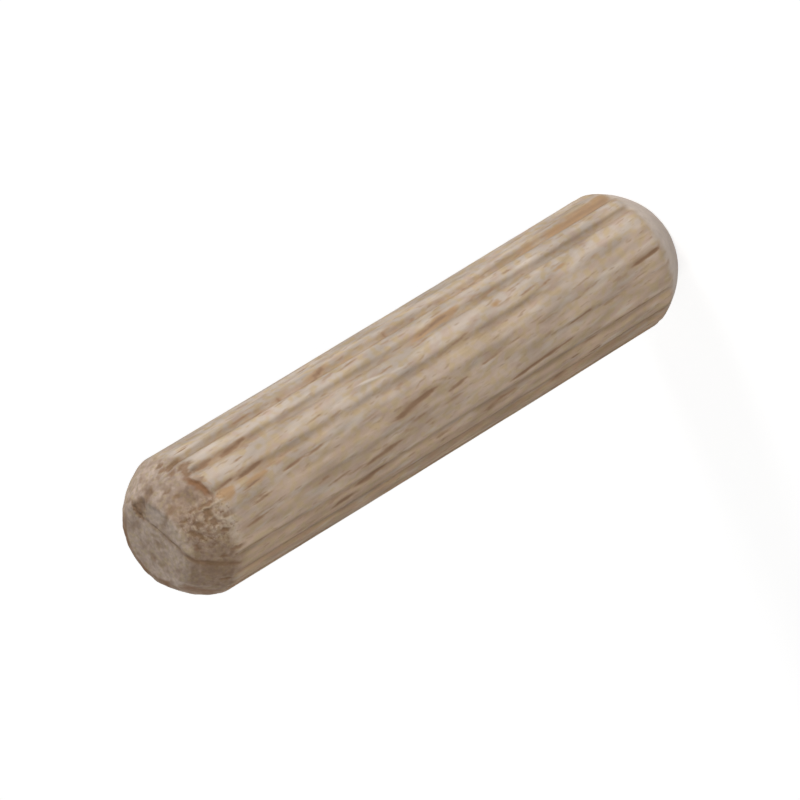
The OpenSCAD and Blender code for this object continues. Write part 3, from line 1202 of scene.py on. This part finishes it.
# The lamps: angle around the pin, elevation, distance, size, and the light on a surface that faces it
LAMPS = {
    "key": (70, 12, 0.7, 0.26, 0.56),
    "fill": (-10, 14, 0.7, 0.3, 0.435),
    "back": (195, 12, 0.7, 0.26, 0.36),
}

# The photograph's view: the camera's angle around the pin, elevation and roll
VIEW_ANGLE = -6.255
VIEW_ELEVATION = 33.808
VIEW_ROLL = 121.486
# Its distance from the pin's middle and its moves right and up, in metres, and its lens
VIEW_DISTANCE = 0.44857
VIEW_RIGHT = -0.0002815
VIEW_UP = -0.000455
VIEW_LENS = 393.77
SENSOR_WIDTH = 36


def seen_directly(graph):
    """1 where a camera, mirror or glass looks at the surface, and 0 where it lights other things."""
    path = graph.node("ShaderNodeLightPath").outputs
    seen = graph.math("MAXIMUM", path["Is Camera Ray"], path["Is Glossy Ray"])
    return graph.math("MAXIMUM", seen, path["Is Transmission Ray"])


def floor_material():
    graph = Graph(bpy.data.materials.new("studio_floor"))
    paper = graph.node("ShaderNodeBsdfDiffuse", {"Color": (FLOOR_COLOUR, FLOOR_COLOUR, FLOOR_COLOUR, 1)})
    glow = graph.math("MULTIPLY", seen_directly(graph), FLOOR_GLOW)
    shine = graph.node("ShaderNodeEmission", {"Color": WHITE, "Strength": glow})
    both = graph.node("ShaderNodeAddShader", {0: paper.outputs[0], 1: shine.outputs[0]})
    graph.node("ShaderNodeOutputMaterial", {"Surface": both.outputs[0]})
    return graph.owner


def add_floor():
    mesh = bpy.data.meshes.new("studio_floor")
    level = cad_low[2] - FLOOR_GAP
    far = FLOOR_HALF
    corners = [(-far, -far, level), (far, -far, level), (far, far, level), (-far, far, level)]
    mesh.from_pydata(corners, [], [(0, 1, 2, 3)])
    mesh.materials.append(floor_material())
    floor = add_object("studio_floor", mesh)


def add_world():
    graph = Graph(bpy.data.worlds.new("studio"))
    bpy.context.scene.world = graph.owner
    strength = graph.math("MULTIPLY_ADD", seen_directly(graph), 1 - AMBIENT, AMBIENT)
    sky = graph.node("ShaderNodeBackground", {"Color": WHITE, "Strength": strength})
    graph.node("ShaderNodeOutputWorld", {"Surface": sky.outputs[0]})


def direction(angle, elevation):
    """The way from the pin to a lamp or camera."""
    rise = math.radians(elevation)
    return Vector((*around(math.cos(rise), angle), math.sin(rise)))


def add_lamp(name, centre):
    """A round lamp that faces the pin. A light of 1 shows a colour as it is written."""
    angle, elevation, distance, size, light = LAMPS[name]
    data = bpy.data.lights.new(name, "AREA")
    data.shape = "DISK"
    data.size = size
    data.energy = light * (math.pi * distance) ** 2
    lamp = add_object(name, data)
    towards = direction(angle, elevation)
    lamp.location = centre + towards * distance
    lamp.rotation_euler = towards.to_track_quat("Z", "Y").to_euler()


def add_camera(centre):
    """The camera in the photograph's view. It is rolled, since the pin lies aslant there."""
    roll = math.radians(VIEW_ROLL)
    back = direction(VIEW_ANGLE, VIEW_ELEVATION)
    level = direction(VIEW_ANGLE + 90, 0)
    rise = back.cross(level)
    right = math.cos(roll) * level - math.sin(roll) * rise
    up = math.cos(roll) * rise + math.sin(roll) * level
    place = centre + back * VIEW_DISTANCE + right * VIEW_RIGHT + up * VIEW_UP
    data = bpy.data.cameras.new("camera")
    data.lens = VIEW_LENS
    data.sensor_width = SENSOR_WIDTH
    camera = add_object("camera", data)
    turned = Matrix((right, up, back)).transposed().to_4x4()
    camera.matrix_world = Matrix.Translation(place) @ turned
    bpy.context.scene.camera = camera


pin = build_pin()
pin.data.materials.append(wood_material())
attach(pin, "root")
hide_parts("dowel_pin")

pin_centre = (pin_low + pin_high) / 2
add_floor()
add_world()
for lamp_name in LAMPS:
    add_lamp(lamp_name, pin_centre)
add_camera(pin_centre)
bpy.context.scene.view_settings.view_transform = "Standard"
